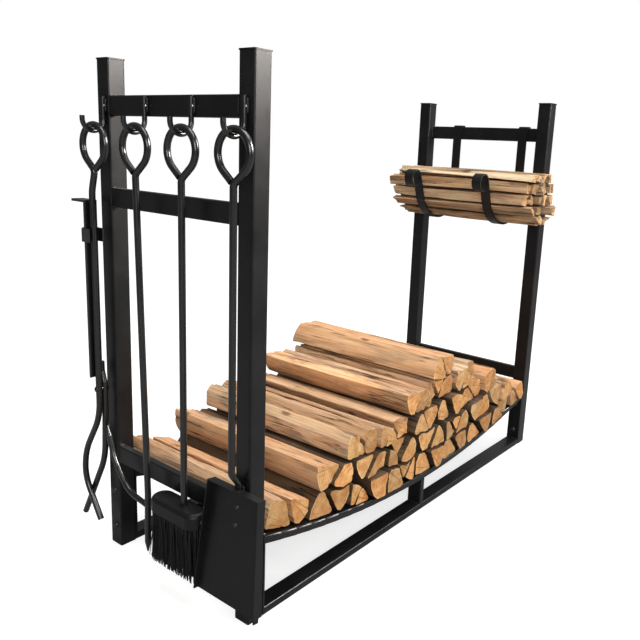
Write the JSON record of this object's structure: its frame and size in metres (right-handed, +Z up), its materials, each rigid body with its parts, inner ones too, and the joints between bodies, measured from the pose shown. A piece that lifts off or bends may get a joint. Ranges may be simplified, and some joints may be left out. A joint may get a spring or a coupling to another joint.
{
  "type": "firewood log rack",
  "caption": "Floor-standing steel firewood rack with a sagging log cradle, hanging fireplace tools and kindling holders, shown loaded with split logs.",
  "frame": {"origin": "bottom centre of the whole object's bounding box, on the floor", "axes": "+X along the rack from the tool end to the kindling end, +Y from front to rear, +Z up"},
  "size_m": [0.9182, 0.4391, 0.762],
  "materials": {
    "black_frame": "satin black powder coat over steel tube",
    "black_tools": "semi-gloss black coat over steel rod",
    "black_pan": "satin black coat over sheet steel",
    "black_strap": "satin black coat over flat steel strap",
    "black_cap": "satin black pressed cap",
    "dark_fastener": "black oxide, semi-gloss, worn on the high spots",
    "bright_fastener": "bright zinc-plated steel",
    "black_brush_block": "satin black coated block",
    "black_bristle": "stiff black bristle, matt",
    "split_log": "raw split hardwood, unfinished",
    "split_kindling": "raw split softwood, unfinished"
  },
  "bodies": {
    "frame": {"near_front_post": "black_frame", "near_front_end_plate": "black_frame", "near_rear_post": "black_frame", "near_rear_end_plate": "black_frame", "near_top_bar": "black_frame", "near_second_bar": "black_frame", "near_lower_bar": "black_frame", "far_front_post": "black_frame", "far_front_end_plate": "black_frame", "far_rear_post": "black_frame", "far_rear_end_plate": "black_frame", "far_top_bar": "black_frame", "far_second_bar": "black_frame", "far_lower_bar": "black_frame", "front_bottom_rail": "black_frame", "front_log_arc": "black_frame", "front_centre_support": "black_frame", "rear_bottom_rail": "black_frame", "rear_log_arc": "black_frame", "rear_centre_support": "black_frame", "post_caps": "black_cap", "frame_bolts": "dark_fastener", "frame_nuts": "dark_fastener", "shovel_hook": "black_tools", "brush_hook": "black_tools", "poker_hook": "black_tools", "tongs_hook": "black_tools"},
    "tongs": {"tongs_ring_arm": "black_tools", "tongs_pivot_rivet": "dark_fastener"},
    "tongs_moving_arm": {"tongs_thumb_arm": "black_tools", "tongs_guide_fork": "black_tools"},
    "poker": {"poker_shaft": "black_tools", "poker_barb": "black_tools"},
    "brush": {"brush_shaft": "black_tools", "brush_head": "black_brush_block", "brush_set_screw": "bright_fastener", "brush_bristles": "black_bristle"},
    "shovel": {"shovel_shaft": "black_tools", "shovel_pan": "black_pan", "shovel_rivets": "dark_fastener"},
    "front_holder": {"front_kindling_holder": "black_strap"},
    "rear_holder": {"rear_kindling_holder": "black_strap"},
    "kindling": {"kindling_sticks": "split_kindling"},
    "log_stack": {"log_course_1": "split_log", "log_course_2": "split_log", "log_course_3": "split_log", "log_course_4": "split_log", "log_course_5": "split_log"}
  },
  "joints": [
    {"name": "tongs_swing", "type": "hinge", "parent": "frame", "child": "tongs", "pos_m": [-0.43915, 0.13878, 0.66865], "axis": [0, 1, 0], "range_deg": [0, 25]},
    {"name": "poker_swing", "type": "hinge", "parent": "frame", "child": "poker", "pos_m": [-0.43915, 0.04098, 0.66865], "axis": [0, 1, 0], "range_deg": [0, 25]},
    {"name": "brush_swing", "type": "hinge", "parent": "frame", "child": "brush", "pos_m": [-0.43915, -0.05682, 0.66865], "axis": [0, 1, 0], "range_deg": [0, 25]},
    {"name": "shovel_swing", "type": "hinge", "parent": "frame", "child": "shovel", "pos_m": [-0.43915, -0.15462, 0.66865], "axis": [0, 1, 0], "range_deg": [0, 25]},
    {"name": "tongs_open", "type": "hinge", "parent": "tongs", "child": "tongs_moving_arm", "pos_m": [-0.43915, 0.14738, 0.271], "axis": [-1, 0, 0], "range_deg": [0, 20]},
    {"name": "front_holder_slide", "type": "slide", "parent": "frame", "child": "front_holder", "axis": [0, 1, 0], "range_m": [-0.024, 0.085]},
    {"name": "rear_holder_slide", "type": "slide", "parent": "frame", "child": "rear_holder", "axis": [0, 1, 0], "range_m": [-0.05, 0.055]},
    {"name": "kindling_lift", "type": "slide", "parent": "frame", "child": "kindling", "axis": [0, 0, 1], "range_m": [0, 0.3]},
    {"name": "log_stack_lift", "type": "slide", "parent": "frame", "child": "log_stack", "axis": [0, 0, 1], "range_m": [0, 0.18]}
  ]
}
